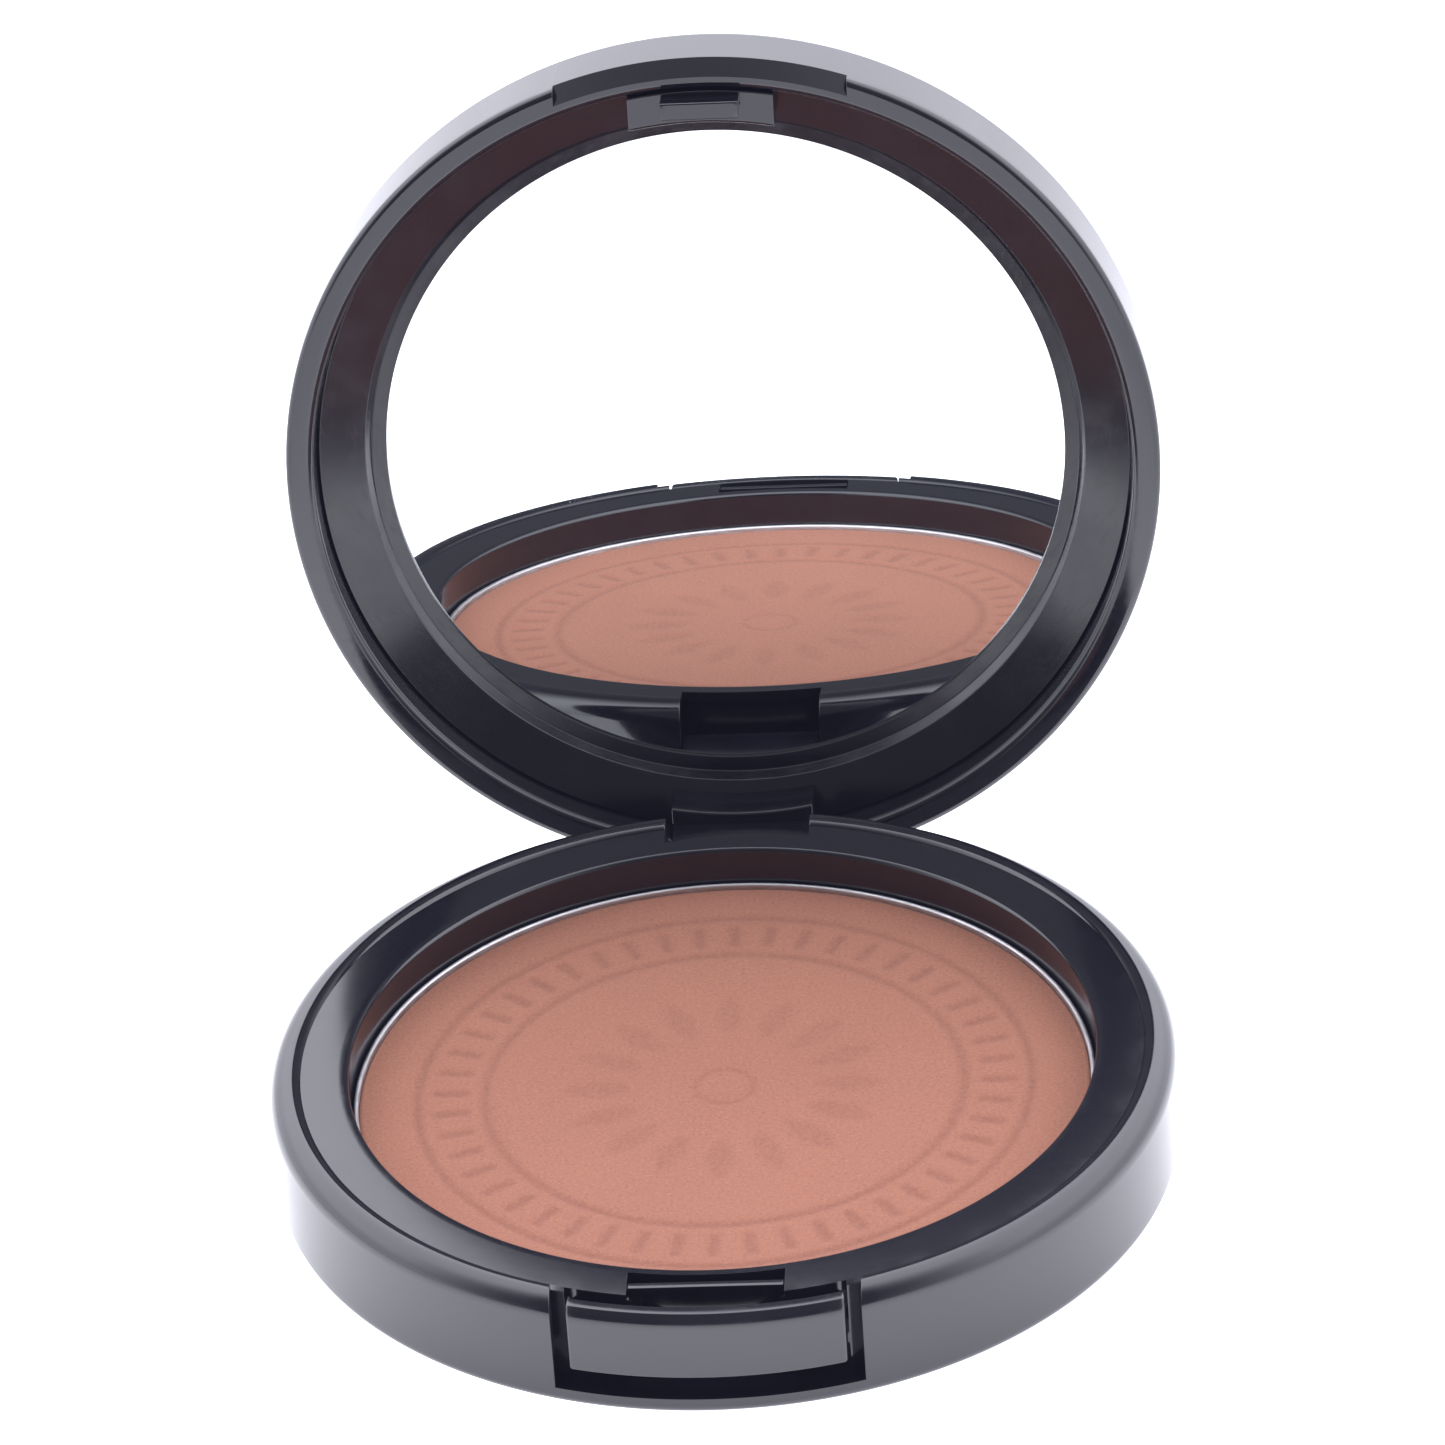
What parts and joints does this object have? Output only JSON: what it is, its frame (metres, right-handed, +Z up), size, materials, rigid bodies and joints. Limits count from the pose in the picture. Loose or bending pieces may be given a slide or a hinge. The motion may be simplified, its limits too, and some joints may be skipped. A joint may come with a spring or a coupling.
{
  "type": "powder compact",
  "caption": "Round black pressed-powder compact: low round base with a recessed metal pan of powder and a front push button, hinged lid with a round mirror standing open.",
  "frame": {"origin": "middle of the base's underside, on the surface it stands on", "axes": "+Z up out of the powder, -Y towards the push button, +X to the right seen from the front"},
  "size_m": [0.073, 0.0928, 0.0735],
  "materials": {
    "shell_plastic": "polished black",
    "tray_plastic": "polished black",
    "button_plastic": "polished black, a little softer than the shell",
    "pan_metal": "drawn, bright cut rim",
    "powder": "matte pressed mineral powder with fine speckle",
    "adhesive": "double-sided pad",
    "label_paper": "blank coated label",
    "pin_steel": "drawn",
    "spring_steel": "rolled strip",
    "mirror": "polished, silvered on its back"
  },
  "bodies": {
    "base": {"base_shell": "shell_plastic", "base_tray": "tray_plastic", "pan": "pan_metal", "powder_cake": "powder", "pan_adhesive": "adhesive", "base_label": "label_paper", "hinge_pin": "pin_steel", "button_spring": "spring_steel"},
    "lid": {"lid_shell": "shell_plastic", "mirror_frame": "tray_plastic", "mirror_glass": "mirror", "mirror_adhesive": "adhesive"},
    "button": {"push_button": "button_plastic"}
  },
  "joints": [
    {"name": "lid_hinge", "type": "hinge", "parent": "base", "child": "lid", "pos_m": [0, 0.0343, 0.004], "axis": [1, 0, 0], "range_deg": [0, 96.8]},
    {"name": "button_press", "type": "slide", "parent": "base", "child": "button", "axis": [0, 1, 0], "range_m": [0, 0.0007], "stiffness_N_per_m": 1500, "springref_m": -0.0004, "deforming": ["button_spring"]}
  ]
}
